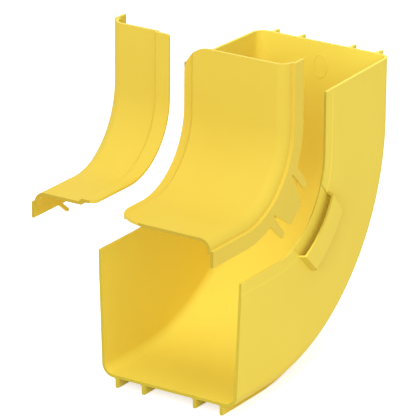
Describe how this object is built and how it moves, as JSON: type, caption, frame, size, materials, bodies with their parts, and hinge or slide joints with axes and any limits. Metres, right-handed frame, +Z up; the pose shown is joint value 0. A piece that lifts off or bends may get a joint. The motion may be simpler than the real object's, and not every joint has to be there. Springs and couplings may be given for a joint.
{
  "type": "fibre raceway vertical elbow with split cover",
  "caption": "Open raceway trough turning a horizontal duct upward through 90 degrees, with a two-half latching cover drawn off it.",
  "frame": {"origin": "middle of the floor's underside at the lower, horizontal end", "axes": "+Y along the lower leg into the bend, +Z up along the upper leg and out of its end, +X across the duct"},
  "size_m": [0.2037, 0.3368, 0.3358],
  "materials": {
    "moulded_plastic": "satin moulded yellow plastic"
  },
  "bodies": {
    "trough": {"fitting_body": "moulded_plastic"},
    "right_cover": {"cover_right_half": "moulded_plastic"},
    "left_cover": {"cover_left_half": "moulded_plastic"}
  },
  "joints": [
    {"name": "cover_closing", "type": "slide", "parent": "trough", "child": "right_cover", "axis": [0, 0.7861, -0.6181], "range_m": [0, 0.07442]},
    {"name": "lap_closing", "type": "slide", "parent": "right_cover", "child": "left_cover", "axis": [0.9725, 0.0429, -0.2288], "range_m": [0, 0.03496]}
  ]
}
